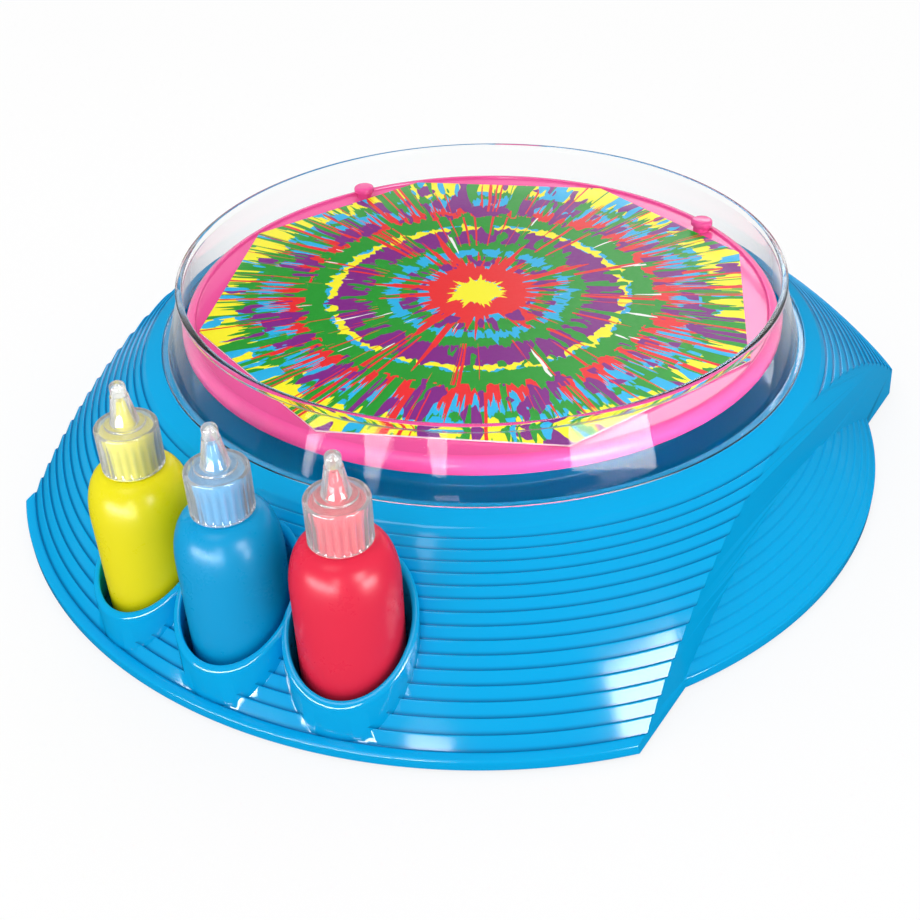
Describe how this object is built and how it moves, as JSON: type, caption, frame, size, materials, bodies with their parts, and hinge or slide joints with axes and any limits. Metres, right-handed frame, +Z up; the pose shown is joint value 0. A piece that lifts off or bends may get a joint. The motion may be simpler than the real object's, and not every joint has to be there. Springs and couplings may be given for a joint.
{
  "type": "spin art machine",
  "caption": "Tabletop spin art machine: ribbed blue dome, pink turntable with a paint card, clear splash guard and bottles of paint in scalloped cups.",
  "frame": {"origin": "on the turntable's axis, at the underside of the middle rubber foot, which is the surface that the machine stands on", "axes": "+Z up along the turntable's axis, -Y towards the user, the paint bottles at front left between the two arched recesses"},
  "size_m": [0.3006, 0.3064, 0.0831],
  "materials": {
    "blue_shell": "glossy moulded ABS, bright sky blue",
    "pink_tray": "glossy moulded plastic, bright pink",
    "clear_guard": "clear moulded polystyrene",
    "clear_cap": "clear moulded plastic",
    "paint_card": "white card with spun paint",
    "red_paint": "squeezy plastic, full of red paint",
    "blue_paint": "squeezy plastic, full of blue paint",
    "yellow_paint": "squeezy plastic, full of yellow paint",
    "white_gear": "acetal, as moulded",
    "black_plastic": "as moulded",
    "black_rubber": "matte",
    "screw_steel": "zinc plated",
    "shaft_steel": "ground",
    "motor_steel": "nickel plated",
    "bush_brass": "turned",
    "contact_metal": "nickel plated",
    "battery_sleeve": "plain printed sleeve"
  },
  "bodies": {
    "base": {"housing_shell": "blue_shell", "base_plate": "blue_shell", "rubber_feet": "black_rubber", "base_screws": "screw_steel", "gear_plate": "black_plastic", "gear_plate_screws": "screw_steel", "battery_cells": "battery_sleeve", "battery_contacts": "contact_metal", "motor": "motor_steel", "lower_bush": "bush_brass", "upper_bush": "bush_brass", "idler_pin": "shaft_steel", "power_switch": "black_plastic", "button_spring": "shaft_steel"},
    "turntable": {"turntable": "pink_tray", "turntable_screw": "screw_steel", "spindle": "shaft_steel", "spindle_clip": "screw_steel", "main_gear": "white_gear"},
    "idler": {"idler_gear": "white_gear"},
    "rotor": {"motor_shaft": "shaft_steel", "motor_pinion": "white_gear"},
    "button": {"power_button": "pink_tray"},
    "guard": {"splash_guard": "clear_guard"},
    "card": {"paint_card": "paint_card"},
    "door": {"battery_door": "blue_shell"},
    "red_bottle": {"red_bottle": "red_paint", "red_nozzle": "red_paint"},
    "red_cap": {"red_cap": "clear_cap"},
    "blue_bottle": {"blue_bottle": "blue_paint", "blue_nozzle": "blue_paint"},
    "blue_cap": {"blue_cap": "clear_cap"},
    "yellow_bottle": {"yellow_bottle": "yellow_paint", "yellow_nozzle": "yellow_paint"},
    "yellow_cap": {"yellow_cap": "clear_cap"}
  },
  "joints": [
    {"name": "turntable_spin", "type": "hinge", "parent": "base", "child": "turntable", "pos_m": [0, 0, 0.054], "axis": [0, 0, 1], "continuous": true},
    {"name": "idler_spin", "type": "hinge", "parent": "base", "child": "idler", "pos_m": [0, 0.0192, 0.036], "axis": [0, 0, 1], "continuous": true},
    {"name": "motor_spin", "type": "hinge", "parent": "base", "child": "rotor", "pos_m": [0.01576, 0.02198, 0.035], "axis": [0, 0, 1], "continuous": true},
    {"name": "button_press", "type": "slide", "parent": "base", "child": "button", "axis": [0, 0, -1], "range_m": [0, 0.0025], "stiffness_N_per_m": 400, "deforming": ["button_spring"]},
    {"name": "guard_lift", "type": "slide", "parent": "base", "child": "guard", "axis": [0, 0, 1], "range_m": [0, 0.06]},
    {"name": "card_lift", "type": "slide", "parent": "turntable", "child": "card", "axis": [0, 0, 1], "range_m": [0, 0.03]},
    {"name": "door_drop", "type": "slide", "parent": "base", "child": "door", "axis": [0, 0, -1], "range_m": [0, 0.03]},
    {"name": "red_bottle_lift", "type": "slide", "parent": "base", "child": "red_bottle", "axis": [0, 0, 1], "range_m": [0, 0.08]},
    {"name": "red_cap_off", "type": "slide", "parent": "red_bottle", "child": "red_cap", "axis": [0, 0, 1], "range_m": [0, 0.03]},
    {"name": "blue_bottle_lift", "type": "slide", "parent": "base", "child": "blue_bottle", "axis": [0, 0, 1], "range_m": [0, 0.08]},
    {"name": "blue_cap_off", "type": "slide", "parent": "blue_bottle", "child": "blue_cap", "axis": [0, 0, 1], "range_m": [0, 0.03]},
    {"name": "yellow_bottle_lift", "type": "slide", "parent": "base", "child": "yellow_bottle", "axis": [0, 0, 1], "range_m": [0, 0.08]},
    {"name": "yellow_cap_off", "type": "slide", "parent": "yellow_bottle", "child": "yellow_cap", "axis": [0, 0, 1], "range_m": [0, 0.03]}
  ],
  "couplings": [
    {"joint": "idler_spin", "follows": "turntable_spin", "ratio": -3},
    {"joint": "motor_spin", "follows": "turntable_spin", "ratio": 9}
  ]
}
